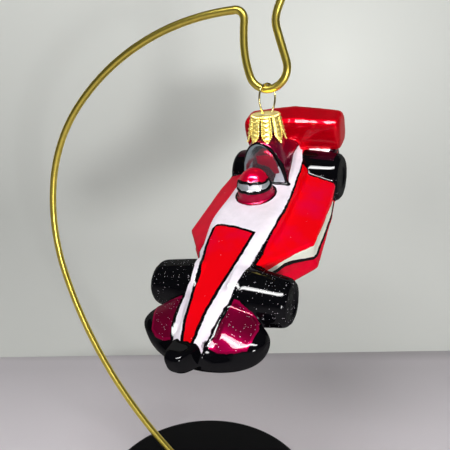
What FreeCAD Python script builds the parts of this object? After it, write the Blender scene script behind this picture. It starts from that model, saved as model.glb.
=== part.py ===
import FreeCAD, Part
import Sketcher
import math
import os

# Mould-blown glass ornament in the shape of an open wheel racing car.
# It hangs nose down, by a crown cap and a wire loop, from the hook of a bent wire stand.
# Frame: origin at the centre of the base's underside, Z up, the stand's wire lies in the XZ plane
# with its arch towards -X, and the car's nose points to -Y.

V = FreeCAD.Vector

# Lengths are in millimetres and angles in degrees. Each row is a name and its value.
SIZES = [
    # round base, and the felt disc let into its underside
    ("base_radius", 52.4),
    ("base_thickness", 15.0),
    ("base_top_round", 3.0),
    ("base_foot_round", 1.2),
    ("felt_margin", 6.0),
    ("felt_thickness", 1.2),
    # stand wire: its foot in the base, then its bends in order from the foot to the tip
    ("wire_diameter", 3.175),
    ("wire_socket_place", -8.6),
    ("wire_socket_depth", 11.0),
    ("foot_bend_radius", 5.0),
    ("foot_bend_angle", 52.6),
    ("rise_bend_radius", 193.6),
    ("rise_bend_angle", 36.0),
    ("side_bend_radius", 97.1),
    ("side_bend_angle", 27.4),
    ("shoulder_bend_radius", 74.4),
    ("shoulder_bend_angle", 30.75),
    ("crown_bend_radius", 107.7),
    ("crown_bend_angle", 46.3),
    ("drop_bend_radius", 3.8),
    ("drop_bend_angle", 93.9),
    ("drop_length", 4.5),
    ("throat_bend_radius", 43.7),
    ("throat_bend_angle", 22.5),
    ("hook_bend_radius", 7.8),
    ("hook_bend_angle", 178.2),
    ("hook_back_length", 12.4),
    ("tip_bend_radius", 11.2),
    ("tip_bend_angle", 41.0),
    ("tip_length", 6.8),
    # spring wire hanger: a loop, and two legs that go through the cap and press on the neck's bore
    ("hanger_wire_diameter", 0.8),
    ("hanger_loop_radius", 4.0),
    ("hanger_loop_angle", 72.0),
    ("hanger_side_radius", 9.0),
    ("hanger_side_angle", 48.0),
    ("hanger_height", 11.3),
    ("hanger_tuck", 1.4),
    ("hanger_flare_radius", 1.6),
    ("hanger_flare_angle", 46.0),
    ("hanger_turn_angle", 58.0),
    ("hanger_gap", 0.1),
    # crown cap
    ("cap_top_radius", 6.0),
    ("cap_skirt_radius", 7.7),
    ("cap_height", 11.4),
    ("cap_wall", 0.45),
    ("cap_shoulder_round", 0.9),
    ("cap_petal_count", 8),
    ("cap_slit_width", 0.8),
    ("cap_slit_top", 2.6),
    ("cap_point_height", 2.4),
    ("cap_petal_gap", 1.7),
    ("cap_leg_clearance", 0.3),
    # glass neck, and how the car hangs from it
    ("neck_radius", 4.6),
    ("neck_wall", 1.1),
    ("neck_length", 16.5),
    ("neck_bore_depth", 14.0),
    ("hang_pitch_angle", 27.0),
    ("hang_yaw_angle", -6.0),
    ("hook_over_scoop", 16.0),
    # car body; places run back from the neck's line, heights run up from the floor
    ("nose_tip_place", -104.4),
    ("nose_root_place", -95.0),
    ("body_widest_place", -34.0),
    ("body_tail_place", 28.0),
    ("body_floor_height", 2.5),
    ("nose_height", 17.8),
    ("body_height", 25.0),
    ("tail_height", 20.5),
    ("nose_half_width", 4.9),
    ("body_half_width", 14.4),
    ("tail_half_width", 8.0),
    # side pods
    ("pod_front_place", -60.5),
    ("pod_corner_place", -41.0),
    ("pod_back_corner_place", 2.5),
    ("pod_end_place", 10.0),
    ("pod_front_half_width", 12.5),
    ("pod_half_width", 27.3),
    ("pod_outer_height", 15.4),
    ("pod_inner_height", 20.6),
    ("pod_lip_height", 4.2),
    ("pod_waist_height", 8.2),
    ("pod_waist_depth", 1.9),
    ("pod_top_inset", 0.9),
    ("pod_foot_tuck", 2.8),
    ("pod_edge_round", 1.6),
    # tyres
    ("front_axle_place", -68.0),
    ("front_axle_height", 12.0),
    ("front_tyre_radius", 8.6),
    ("front_tyre_root_radius", 11.4),
    ("front_half_track", 26.3),
    ("rear_axle_place", 8.6),
    ("rear_axle_height", 12.2),
    ("rear_tyre_radius", 10.6),
    ("rear_tyre_root_radius", 11.8),
    ("rear_half_track", 25.0),
    ("tyre_root_place", 6.0),
    ("tyre_shoulder_round", 2.6),
    ("tyre_dish_radius", 5.2),
    ("tyre_dish_depth", 0.6),
    # front wing
    ("front_wing_half_span", 22.4),
    ("front_wing_front_place", -97.4),
    ("front_wing_rear_place", -71.0),
    ("front_wing_floor_height", 3.4),
    ("front_wing_front_height", 12.2),
    ("front_wing_rear_height", 20.5),
    ("front_wing_edge_round", 3.4),
    # air scoop behind the cockpit, the engine cover that runs back from it, and the helmet
    ("scoop_place", -16.6),
    ("scoop_half_width", 9.4),
    ("scoop_height", 42.0),
    ("scoop_foot_height", 20.0),
    ("cover_tail_place", 24.0),
    ("cover_tail_half_width", 4.2),
    ("cover_tail_height", 23.0),
    ("helmet_radius", 7.1),
    ("helmet_place", -25.0),
    ("helmet_offset", -1.3),
    ("helmet_height", 36.2),
    # rear wing, and the block under it
    ("rear_wing_half_span", 22.7),
    ("rear_wing_front_place", 16.6),
    ("rear_wing_rear_place", 30.4),
    ("rear_wing_foot_height", 19.6),
    ("rear_wing_height", 35.0),
    ("rear_wing_peak", 3.6),
    ("rear_wing_edge_round", 3.8),
    ("tail_block_half_width", 20.5),
    ("tail_block_rear_place", 27.0),
    ("tail_block_foot_height", 7.0),
    ("tail_block_edge_round", 3.5),
]

# Shares that shape the body: how far along its stretch, and of its own width and heights.
# Nose, from its tip to its root: place, half width, underside and top.
NOSE_SHARES = [
    (0.0, 0.42, 0.80, 1.02),
    (0.12, 0.62, 0.68, 1.09),
    (0.35, 0.80, 0.58, 1.10),
    (0.65, 0.92, 0.46, 1.04),
    (1.0, 1.0, 0.36, 0.99),
]
# Body, from the nose's root to its widest place: place, widening, sinking of the floor, rise of the top.
FRONT_BODY_SHARES = [
    (0.27, 0.27, 0.7, 0.30),
    (0.5, 0.55, 1.0, 0.66),
    (0.76, 0.9, 1.0, 0.98),
    (1.0, 1.0, 1.0, 1.0),
]
# Body, from its widest place to its tail: place, narrowing and fall of the top.
REAR_BODY_SHARES = [
    (0.35, 0.12, 0.1),
    (0.65, 0.45, 0.35),
    (1.0, 1.0, 1.0),
]
# Engine cover, from the scoop to its tail: place, narrowing and fall of the ridge.
COVER_SHARES = [
    (0.0, 0.0, 0.0),
    (0.24, 0.12, 0.02),
    (0.5, 0.5, 0.36),
    (0.76, 0.85, 0.78),
    (1.0, 1.0, 1.0),
]
# Poles of the cover's arch, from its foot up: of its half width and of its rise.
ARCH_SHARES = [(1.0, 0.0), (1.0, 0.35), (0.86, 0.8), (0.3, 1.05)]
# Helmet, from its chin to its crown: height, and how much of the full radius is left there.
HELMET_SHARES = [(0.0, 0.86), (0.3, 1.0), (0.6, 0.93), (0.84, 0.67), (0.97, 0.3), (1.0, 0.0)]
# Front wing, over half its span: place, sweep of the front edge, sweep of the rear edge, droop, thinning.
FRONT_WING_SHARES = [
    (0.0, 0.0, 0.0, 0.0, 0.0),
    (0.5, 0.07, 0.12, 0.28, 0.0),
    (0.84, 0.22, 0.28, 0.5, 0.06),
    (0.96, 0.33, 0.35, 0.56, 0.28),
    (1.0, 0.42, 0.4, 0.6, 0.55),
]
# Rear wing, over half its span: place, and how much of the full section is left there.
REAR_WING_SHARES = [(0.0, 1.0), (0.92, 1.0), (0.98, 0.9), (1.0, 0.72)]
# Tail block, from the rear axle to its back: place, and how much of the full section is left there.
TAIL_BLOCK_SHARES = [(0.0, 1.0), (0.8, 1.0), (0.94, 0.94), (1.0, 0.82)]
# How far up the rear wing the block under it reaches.
BLOCK_RISE_SHARE = 0.06
# How much of the body's half width is flat on top.
FLAT_TOP_SHARE = 0.55
# Side pod: how far back its full width reaches, how much of the flank's tuck it has there, and the
# width left at its back corner.
POD_FULL_WIDTH_SHARE = 0.7
POD_TUCK_SHARE = 0.75
POD_BACK_WIDTH_SHARE = 0.94
# How much of the front wing's droop its front edge takes.
FRONT_DROOP_SHARE = 0.35
# The most of a side that a rounded corner takes.
CORNER_SHARE = 0.45
# Cap: how much of the shoulder's round is left inside the shell, and the bow of the round.
INNER_ROUND_SHARE = 0.5
SHOULDER_BOW_SHARE = 0.3

doc = FreeCAD.newDocument("racing_car_ornament")
sheet = doc.addObject("Spreadsheet::Sheet", "sizes")
for row, (alias, value) in enumerate(SIZES, 1):
    sheet.set("A%d" % row, alias)
    sheet.set("B%d" % row, str(value))
    sheet.setAlias("B%d" % row, alias)
doc.recompute()


def size(alias):
    return float(sheet.get(alias))


def bind(thing, field, formula):
    # names of sizes stand in the formula between angle brackets
    thing.setExpression(field, formula.replace("<", "sizes.").replace(">", ""))


# A bent wire's path: straight runs and tangent arcs, walked in the XZ plane.
class WirePath:
    def __init__(self, across, up, heading):
        self.across = across
        self.up = up
        self.heading = math.radians(heading)
        self.edges = []

    def point(self):
        return V(self.across, 0, self.up)

    def straight(self, length):
        start = self.point()
        self.across += length * math.cos(self.heading)
        self.up += length * math.sin(self.heading)
        self.edges.append(Part.LineSegment(start, self.point()).toShape())

    def bend(self, radius, angle):
        # a positive angle turns left and a negative one right; gives back the bend's centre
        start = self.point()
        side = math.copysign(radius, angle)
        centre = start + V(-math.sin(self.heading), 0, math.cos(self.heading)) * side
        stops = []
        for share in (0.5, 1):
            turned = self.heading + math.radians(angle) * share
            stops.append(centre + V(math.sin(turned), 0, -math.cos(turned)) * side)
        self.edges.append(Part.Arc(start, stops[0], stops[1]).toShape())
        self.heading += math.radians(angle)
        self.across = stops[1].x
        self.up = stops[1].z
        return centre


def stand_wire_path():
    depth = size("wire_socket_depth")
    path = WirePath(size("wire_socket_place"), size("base_thickness") - depth, 90)
    path.straight(depth)
    path.bend(size("foot_bend_radius"), size("foot_bend_angle"))
    for name in ("rise", "side", "shoulder", "crown", "drop"):
        path.bend(size(name + "_bend_radius"), -size(name + "_bend_angle"))
    path.straight(size("drop_length"))
    path.bend(size("throat_bend_radius"), size("throat_bend_angle"))
    hook_centre = path.bend(size("hook_bend_radius"), size("hook_bend_angle"))
    path.straight(size("hook_back_length"))
    path.bend(size("tip_bend_radius"), -size("tip_bend_angle"))
    path.straight(size("tip_length"))
    return path.edges, hook_centre - V(0, 0, size("hook_bend_radius"))


def hanger_path():
    # half of the loop, walked from its crest down the right leg, then mirrored
    half = WirePath(0, 0, 0)
    for name in ("loop", "side"):
        half.bend(size("hanger_" + name + "_radius"), -size("hanger_" + name + "_angle"))
    to_cap = size("hanger_height") + half.up
    leg_place = half.across - to_cap / math.tan(half.heading)
    half.straight((to_cap + size("hanger_tuck")) / -math.sin(half.heading))
    half.bend(size("hanger_flare_radius"), size("hanger_flare_angle"))
    reach = size("neck_radius") - size("neck_wall") - size("hanger_wire_diameter") / 2 - size("hanger_gap")
    half.straight((reach - half.across) / math.cos(half.heading))
    mirrored = [edge.mirror(V(), V(1, 0, 0)) for edge in reversed(half.edges)]
    start = V(-half.across, 0, half.up)
    return mirrored + half.edges, start, V(math.cos(half.heading), 0, -math.sin(half.heading)), leg_place


def sweep_wire(label, edges, diameter, start, direction):
    # a round wire along a path, as a sweep whose section takes its radius from the sheet
    spine = doc.addObject("Part::Feature", label + "_path")
    spine.Shape = Part.Wire(edges)
    section = doc.addObject("Part::Circle", label + "_section")
    bind(section, "Radius", "<" + diameter + "> / 2")
    section.Placement = FreeCAD.Placement(start, FreeCAD.Rotation(V(0, 0, 1), direction))
    sweep = doc.addObject("Part::Sweep", label)
    sweep.Sections = [section]
    sweep.Spine = (spine, [])
    sweep.Solid = True
    sweep.Frenet = False
    return sweep


# Outlines for the glass: a polygon with rounded corners, and a soft closed curve from its poles.
def rounded_wire(points, radius):
    corners = []
    count = len(points)
    for i in range(count):
        before = points[i - 1] - points[i]
        after = points[(i + 1) % count] - points[i]
        half_angle = before.getAngle(after) / 2
        shorter = min(before.Length, after.Length)
        reach = min(radius / math.tan(half_angle), shorter * CORNER_SHARE)
        bow = reach * math.tan(half_angle)
        middle = V(before).normalize() + V(after).normalize()
        centre = points[i] + middle.normalize() * (bow / math.sin(half_angle))
        first = points[i] + V(before).normalize() * reach
        last = points[i] + V(after).normalize() * reach
        corners.append((first, centre - middle * bow, last))
    edges = []
    for i in range(count):
        first, crest, last = corners[i]
        edges.append(Part.Arc(first, crest, last).toShape())
        edges.append(Part.LineSegment(last, corners[(i + 1) % count][0]).toShape())
    return Part.Wire(edges)


def soft_wire(points):
    curve = Part.BSplineCurve()
    curve.buildFromPoles(points, True, 3)
    return Part.Wire([curve.toShape()])


def between(first, last, share):
    return first + (last - first) * share


# Main body: lofted from the nose's tip to the tail under the rear wing.
def car_body():
    tip, root = size("nose_tip_place"), size("nose_root_place")
    widest, tail = size("body_widest_place"), size("body_tail_place")
    nose_half, half, tail_half = size("nose_half_width"), size("body_half_width"), size("tail_half_width")
    nose_top, top, tail_top = size("nose_height"), size("body_height"), size("tail_height")
    floor = size("body_floor_height")
    stations = []
    for place, wide, low, high in NOSE_SHARES:
        stations.append((between(tip, root, place), nose_half * wide, nose_top * low, nose_top * high))
    root_low, root_top = stations[-1][2:]
    for place, wide, sink, rise in FRONT_BODY_SHARES:
        stations.append((between(root, widest, place), between(nose_half, half, wide),
                         between(root_low, floor, sink), between(root_top, top, rise)))
    for place, narrow, fall in REAR_BODY_SHARES:
        stations.append((between(widest, tail, place), between(half, tail_half, narrow),
                         floor, between(top, tail_top, fall)))
    rings = []
    for place, wide, low, high in stations:
        middle = between(low, high, 0.5)
        flat = wide * FLAT_TOP_SHARE
        rings.append(soft_wire([
            V(wide, place, middle), V(wide, place, high), V(flat, place, high), V(-flat, place, high),
            V(-wide, place, high), V(-wide, place, middle), V(-wide, place, low), V(0, place, low),
            V(wide, place, low)]))
    return Part.makeLoft(rings, True, False)


# Side pod: flat top that falls outwards, hollow waist along its flank and a lip at its floor.
# Towards the back the foot of the flank draws in under the top.
def side_pod(side):
    floor, lip, waist = size("body_floor_height"), size("pod_lip_height"), size("pod_waist_height")
    inner = size("tyre_root_place")
    full, front = size("pod_half_width"), size("pod_front_half_width")
    corner, back_corner = size("pod_corner_place"), size("pod_back_corner_place")
    inner_top = size("pod_inner_height")
    slope = (inner_top - size("pod_outer_height")) / (full - inner)
    stations = [
        (size("pod_front_place"), front, 0),
        (corner, full, 0),
        (between(corner, back_corner, POD_FULL_WIDTH_SHARE), full, POD_TUCK_SHARE),
        (back_corner, between(inner, full, POD_BACK_WIDTH_SHARE), 1),
        (size("pod_end_place"), front, 1),
    ]
    rings = []
    for place, half, tuck in stations:
        edge, foot = half - size("pod_top_inset"), half - size("pod_foot_tuck") * tuck
        hollow = foot - size("pod_waist_depth")
        outline = [
            (inner, floor), (hollow, floor), (foot, lip), (hollow, waist),
            (edge, inner_top - slope * (edge - inner)), (inner, inner_top)]
        rings.append(rounded_wire([V(side * x, place, z) for x, z in outline], size("pod_edge_round")))
    return Part.makeLoft(rings, True, True)


# Tyre: tapers outwards from its root in the body to a rounded shoulder and a dished face.
def tyre(axle, side):
    radius, root_radius = size(axle + "_tyre_radius"), size(axle + "_tyre_root_radius")
    root, face = size("tyre_root_place"), size(axle + "_half_track")
    corner, dish, deep = size("tyre_shoulder_round"), size("tyre_dish_radius"), size("tyre_dish_depth")
    taper = (root_radius - radius) / (face - corner - root)
    lean = math.atan(taper)
    turn = (math.pi / 2 - lean) / 2
    centre = V(face - corner, 0, radius - corner / math.cos(lean))
    shoulder = [centre + V(math.sin(angle), 0, math.cos(angle)) * corner
                for angle in (lean, lean + turn, math.pi / 2)]
    profile = [shoulder[2], V(face, 0, dish), V(face - deep, 0, dish - deep), V(face - deep, 0, 0),
               V(root, 0, 0), V(root, 0, root_radius), shoulder[0]]
    edges = [Part.Arc(shoulder[0], shoulder[1], shoulder[2]).toShape()]
    for first, last in zip(profile, profile[1:]):
        edges.append(Part.LineSegment(first, last).toShape())
    solid = Part.Face(Part.Wire(edges)).revolve(V(), V(1, 0, 0), 360)
    if side < 0:
        solid = solid.mirror(V(), V(1, 0, 0))
    solid.translate(V(0, size(axle + "_axle_place"), size(axle + "_axle_height")))
    return solid


def mirrored_stations(shares):
    # tables over half a span become tables over the whole span, from the car's right to its left
    return [(-row[0],) + row[1:] for row in reversed(shares[1:])] + list(shares)


# Front wing: a thick plate that falls forwards and outwards, with a rounded rim.
def front_wing():
    front, rear = size("front_wing_front_place"), size("front_wing_rear_place")
    low, front_top, rear_top = (size("front_wing_floor_height"), size("front_wing_front_height"),
                                size("front_wing_rear_height"))
    rings = []
    for across, front_sweep, rear_sweep, droop, thin in mirrored_stations(FRONT_WING_SHARES):
        fore, aft = between(front, rear, front_sweep), between(rear, front, rear_sweep)
        sunk = (rear_top - front_top) * droop
        steep = (rear_top - front_top) / (rear - front)
        fore_top = front_top + steep * (fore - front) - sunk * FRONT_DROOP_SHARE
        aft_top = front_top + steep * (aft - front) - sunk
        middle = between(low, fore_top, 0.5)
        place = size("front_wing_half_span") * across
        foot = between(low, middle, thin)
        section = [V(place, fore, foot), V(place, fore, between(fore_top, middle, thin)),
                   V(place, aft, between(aft_top, middle, thin)), V(place, aft, foot)]
        rings.append(rounded_wire(section, size("front_wing_edge_round")))
    return Part.makeLoft(rings, True, False)


# Air scoop: an upright arch behind the cockpit, drawn back into the engine cover.
def engine_cover():
    start, tail, foot = size("scoop_place"), size("cover_tail_place"), size("scoop_foot_height")
    rings = []
    for share, narrow, fall in COVER_SHARES:
        place = between(start, tail, share)
        half = between(size("scoop_half_width"), size("cover_tail_half_width"), narrow)
        rise = between(size("scoop_height"), size("cover_tail_height"), fall) - foot
        right = [V(half * wide, place, foot + rise * up) for wide, up in ARCH_SHARES]
        left = [V(-point.x, place, point.z) for point in reversed(right)]
        rings.append(soft_wire(right + left + [V(0, place, foot)]))
    return Part.makeLoft(rings, True, False)


# Helmet: turned about an upright axis, widest at its chin.
def helmet():
    foot, crown, radius = size("scoop_foot_height"), size("helmet_height"), size("helmet_radius")
    points = [V(radius * full, 0, between(foot, crown, share)) for share, full in HELMET_SHARES]
    side = Part.BSplineCurve()
    side.interpolate(points)
    base_line = Part.makePolygon([points[-1], V(0, 0, foot), points[0]])
    solid = Part.Face(Part.Wire([side.toShape()] + base_line.Edges)).revolve(V(), V(0, 0, 1), 360)
    solid.translate(V(size("helmet_offset"), size("helmet_place"), 0))
    return solid


# Rear wing: a rounded box across the tail, its rear edge raised to a low peak in the middle.
def rear_wing():
    front, rear = size("rear_wing_front_place"), size("rear_wing_rear_place")
    low, high = size("rear_wing_foot_height"), size("rear_wing_height")
    middle, waist = between(front, rear, 0.5), between(low, high, 0.5)
    rings = []
    for across, full in mirrored_stations(REAR_WING_SHARES):
        deep, tall = (rear - front) / 2 * full, (high - low) / 2 * full
        place = size("rear_wing_half_span") * across
        peak = size("rear_wing_peak") * (1 - abs(across))
        section = [V(place, middle - deep, waist - tall), V(place, middle - deep, waist + tall),
                   V(place, middle + deep, waist + tall + peak), V(place, middle + deep, waist - tall)]
        rings.append(rounded_wire(section, size("rear_wing_edge_round")))
    return Part.makeLoft(rings, True, True)


# Block between the rear tyres, under the wing.
def tail_block():
    front, rear = size("rear_axle_place"), size("tail_block_rear_place")
    half, low = size("tail_block_half_width"), size("tail_block_foot_height")
    high = between(size("rear_wing_foot_height"), size("rear_wing_height"), BLOCK_RISE_SHARE)
    rings = []
    for share, full in TAIL_BLOCK_SHARES:
        place = between(front, rear, share)
        wide, waist, tall = half * full, between(low, high, 0.5), (high - low) / 2 * full
        section = [V(-wide, place, waist - tall), V(wide, place, waist - tall),
                   V(wide, place, waist + tall), V(-wide, place, waist + tall)]
        rings.append(rounded_wire(section, size("tail_block_edge_round")))
    return Part.makeLoft(rings, True, True)


# The blown car: every form fused, with a round neck that leans back by the hang pitch.
def glass_car(hook_height, neck_top):
    lean = math.radians(size("hang_pitch_angle"))
    up = V(0, math.sin(lean), math.cos(lean))
    rim = V(0, 0, hook_height) - up * neck_top
    neck = Part.makeCylinder(size("neck_radius"), size("neck_length"), rim - up * size("neck_length"), up)
    bore = Part.makeCylinder(size("neck_radius") - size("neck_wall"), size("neck_bore_depth"),
                             rim - up * size("neck_bore_depth"), up)
    forms = [front_wing(), engine_cover(), helmet(), rear_wing(), tail_block(), neck]
    for side in (-1, 1):
        forms += [side_pod(side), tyre("front", side), tyre("rear", side)]
    return car_body().multiFuse(forms).cut(bore).Solids[0]


# Round base: a turned disc, softened at its top and foot, with a recess and a socket.
def origin_plane(body, role):
    return [item for item in body.Origin.OriginFeatures if item.Role == role][0]


def circle_sketch(body, label, radius_formula, place_formula="", height_formula=""):
    sketch = body.newObject("Sketcher::SketchObject", label)
    sketch.AttachmentSupport = [(origin_plane(body, "XY_Plane"), "")]
    sketch.MapMode = "FlatFace"
    sketch.addGeometry(Part.Circle(V(), V(0, 0, 1), size("base_radius")))
    sketch.addConstraint(Sketcher.Constraint("PointOnObject", 0, 3, -1))
    rules = [("radius", ("Radius", 0, size("base_radius")), radius_formula)]
    if place_formula:
        rules.append(("place", ("DistanceX", -1, 1, 0, 3, size("base_radius") / 2), place_formula))
    else:
        sketch.addConstraint(Sketcher.Constraint("PointOnObject", 0, 3, -2))
    for name, rule, formula in rules:
        index = sketch.addConstraint(Sketcher.Constraint(*rule))
        sketch.renameConstraint(index, name)
        bind(sketch, "Constraints." + name, formula)
    if height_formula:
        bind(sketch, ".AttachmentOffset.Base.z", height_formula)
    return sketch


def outer_edge(shape, height):
    # the widest circular edge nearest to a height
    circles = [(abs(edge.Curve.Center.z - height), -edge.Curve.Radius, "Edge%d" % i)
               for i, edge in enumerate(shape.Edges, 1) if isinstance(edge.Curve, Part.Circle)]
    return [sorted(circles)[0][2]]


def stand_base():
    body = doc.addObject("PartDesign::Body", "stand_base")
    disc = body.newObject("PartDesign::Pad", "base_disc")
    disc.Profile = circle_sketch(body, "base_outline", "<base_radius>")
    bind(disc, "Length", "<base_thickness>")
    doc.recompute()
    top = body.newObject("PartDesign::Fillet", "base_top_edge")
    top.Base = (disc, outer_edge(disc.Shape, size("base_thickness")))
    bind(top, "Radius", "<base_top_round>")
    doc.recompute()
    foot = body.newObject("PartDesign::Fillet", "base_foot_edge")
    foot.Base = (top, outer_edge(top.Shape, 0))
    bind(foot, "Radius", "<base_foot_round>")
    recess = body.newObject("PartDesign::Pocket", "felt_recess")
    recess.Profile = circle_sketch(body, "felt_outline", "<base_radius> - <felt_margin>")
    recess.Reversed = True
    bind(recess, "Length", "<felt_thickness>")
    socket = body.newObject("PartDesign::Pocket", "wire_socket")
    socket.Profile = circle_sketch(body, "socket_outline", "<wire_diameter> / 2", "<wire_socket_place>",
                                   "<base_thickness>")
    bind(socket, "Length", "<wire_socket_depth>")
    body.Tip = socket
    return body


def felt_disc():
    disc = doc.addObject("Part::Cylinder", "felt_disc")
    bind(disc, "Radius", "<base_radius> - <felt_margin>")
    bind(disc, "Height", "<felt_thickness>")
    return disc


# Crown cap: thin stamped shell with a flat top and a skirt slit into pointed petals.
def cap_outline(shrink):
    # the shell's outer line, or its inner line at one wall's depth, as edges from axis to skirt
    top, skirt, tall = size("cap_top_radius") - shrink, size("cap_skirt_radius") - shrink, size("cap_height")
    reach = size("cap_shoulder_round") * (1 if shrink == 0 else INNER_ROUND_SHARE)
    shoulder = V(top, 0, -shrink)
    slope = V(skirt - top, 0, shrink - tall).normalize()
    first, last = shoulder - V(reach, 0, 0), shoulder + slope * reach
    bow = shoulder + (V(-1, 0, 0) + slope) * (reach * SHOULDER_BOW_SHARE)
    return V(0, 0, -shrink), first, bow, last, V(skirt, 0, -tall)


def crown_cap(leg_place, glass_below):
    wall, skirt, tall = size("cap_wall"), size("cap_skirt_radius"), size("cap_height")
    outer, inner = cap_outline(0), cap_outline(wall)
    edges = [Part.LineSegment(inner[0], outer[0]).toShape()]
    for start, first, bow, last, end in (outer, inner):
        edges += [Part.LineSegment(start, first).toShape(), Part.Arc(first, bow, last).toShape(),
                  Part.LineSegment(last, end).toShape()]
    edges.append(Part.LineSegment(outer[4], inner[4]).toShape())
    shell = Part.Face(Part.Wire(Part.__sortEdges__(edges))).revolve(V(), V(0, 0, 1), 360)
    # one cutter takes the slit between two petals and the slope of their points
    petals = int(size("cap_petal_count"))
    slit, gap = size("cap_slit_width") / 2, size("cap_petal_gap") / 2
    half_petal = skirt * math.tan(math.pi / petals)
    point, low = size("cap_point_height") - tall, -tall - wall
    outline = [V(slit, 0, -size("cap_slit_top")), V(gap, 0, point),
               V(half_petal, 0, -tall), V(half_petal, 0, low)]
    outline += [V(-corner.x, 0, corner.z) for corner in reversed(outline)]
    cutter = Part.Face(Part.makePolygon(outline + outline[:1])).extrude(V(0, skirt + gap, 0))
    cutters = []
    for i in range(petals):
        turned = cutter.copy()
        turned.rotate(V(), V(0, 0, 1), 360 * i / petals)
        cutters.append(turned)
    for side in (-1, 1):
        radius = size("hanger_wire_diameter") / 2 + size("cap_leg_clearance")
        hole = Part.makeCylinder(radius, wall + gap, V(side * leg_place, 0, -wall - gap / 2))
        hole.rotate(V(), V(0, 0, 1), size("hanger_turn_angle"))
        cutters.append(hole)
    # the petals that come down on the engine cover end on the glass
    cutters.append(glass_below)
    cap = doc.addObject("Part::Feature", "crown_cap")
    cap.Shape = sorted(shell.cut(cutters).Solids, key=lambda piece: piece.Volume)[-1]
    return cap


base = stand_base()
felt = felt_disc()
stand_edges, hook_seat = stand_wire_path()
socket_floor = V(size("wire_socket_place"), 0, size("base_thickness") - size("wire_socket_depth"))
wire = sweep_wire("stand_wire", stand_edges, "wire_diameter", socket_floor, V(0, 0, 1))

# the loop's crest lies on the hook, and what hangs below is placed down from the hook's seat
loop_edges, loop_start, loop_heading, leg_place = hanger_path()
hanger = sweep_wire("hanger", loop_edges, "hanger_wire_diameter", loop_start, loop_heading)
crest = size("wire_diameter") / 2 + size("hanger_wire_diameter") / 2 + size("hanger_gap")
hanger_turn = FreeCAD.Rotation(V(0, 0, 1), size("hanger_turn_angle"))
hanger.Placement = FreeCAD.Placement(hook_seat + V(0, 0, crest), hanger_turn)
cap_top = size("hanger_height") - crest
glass = doc.addObject("Part::Feature", "glass_car")
hook_height = size("scoop_height") + size("hook_over_scoop")
glass.Shape = glass_car(hook_height, cap_top + size("cap_wall"))
pitch = FreeCAD.Rotation(V(1, 0, 0), size("hang_pitch_angle"))
turn = FreeCAD.Rotation(V(0, 0, 1), size("hang_yaw_angle")).multiply(pitch)
glass.Placement = FreeCAD.Placement(hook_seat - turn.multVec(V(0, 0, hook_height)), turn)
cap_seat = hook_seat - V(0, 0, cap_top)
cap = crown_cap(leg_place, glass.Shape.translated(-cap_seat))
cap.Placement = FreeCAD.Placement(cap_seat, FreeCAD.Rotation())

doc.recompute()
for item in doc.Objects:
    if "Invalid" in item.State or "Error" in item.State:
        raise RuntimeError(item.Name + " failed to build")
os.makedirs("parts", exist_ok=True)
for node in (base, felt, wire, hanger, cap, glass):
    if node.Shape.isNull() or not node.Shape.isValid() or len(node.Shape.Solids) != 1:
        raise RuntimeError(node.Label + " has no valid solid")
    print(node.Label, "volume", round(node.Shape.Volume, 1))
    node.Shape.exportStep("parts/%s.step" % node.Label)
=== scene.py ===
import math
from collections import namedtuple

import bmesh
import bpy
import numpy as np
from bpy.props import FloatProperty, FloatVectorProperty, IntProperty, PointerProperty
from mathutils import Euler, Matrix, Vector, noise


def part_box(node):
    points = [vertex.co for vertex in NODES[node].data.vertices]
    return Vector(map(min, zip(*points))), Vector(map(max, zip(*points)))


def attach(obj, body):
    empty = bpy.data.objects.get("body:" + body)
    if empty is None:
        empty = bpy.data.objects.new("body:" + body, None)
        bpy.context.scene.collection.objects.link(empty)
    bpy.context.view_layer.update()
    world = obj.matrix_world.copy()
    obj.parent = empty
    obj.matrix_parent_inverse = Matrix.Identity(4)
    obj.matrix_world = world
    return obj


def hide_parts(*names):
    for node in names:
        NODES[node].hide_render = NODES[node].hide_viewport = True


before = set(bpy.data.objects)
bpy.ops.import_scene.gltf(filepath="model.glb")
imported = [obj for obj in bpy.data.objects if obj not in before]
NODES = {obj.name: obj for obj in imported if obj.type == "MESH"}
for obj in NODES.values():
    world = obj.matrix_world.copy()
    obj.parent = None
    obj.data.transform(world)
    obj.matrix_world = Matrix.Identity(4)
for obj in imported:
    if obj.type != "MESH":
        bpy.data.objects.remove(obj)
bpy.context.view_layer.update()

bl_info = {
    "name": "Glass racing car ornament",
    "version": (1, 0, 0),
    "blender": (4, 5, 0),
    "location": "3D View > Sidebar > Ornament",
    "description": "Dresses a blown glass racing car ornament, its crown cap and its wire stand",
    "category": "Object",
}

MM = 0.001


# Sizes and colours that a user would change

def length(name, text, value):
    return FloatProperty(name=name, description=text, default=value, unit="LENGTH", precision=5)


def angle(name, text, degrees):
    return FloatProperty(name=name, description=text, default=math.radians(degrees), unit="ROTATION")


def location(name, text, value):
    return FloatVectorProperty(name=name, description=text, default=value, subtype="TRANSLATION",
                               unit="LENGTH", precision=5)


def colour(name, text, value):
    return FloatVectorProperty(name=name, description=text, default=value, subtype="COLOR", size=3,
                               min=0.0, max=1.0)


def number(name, text, value):
    return FloatProperty(name=name, description=text, default=value)


def count(name, text, value, least=0):
    return IntProperty(name=name, description=text, default=value, min=least)


class OrnamentPose(bpy.types.PropertyGroup):
    """How the glass car hangs from the hook"""
    hook_seat: location("Hook seat", "Lowest point of the hook's centre line", (0.02704, 0.0, 0.20473))
    over_floor: length("Hook over floor", "Height of the hook over the car's own floor", 0.058)
    pitch: angle("Pitch", "How far the nose hangs down", 27.0)
    yaw: angle("Yaw", "Turn of the car on its hanger", -6.0)


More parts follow.
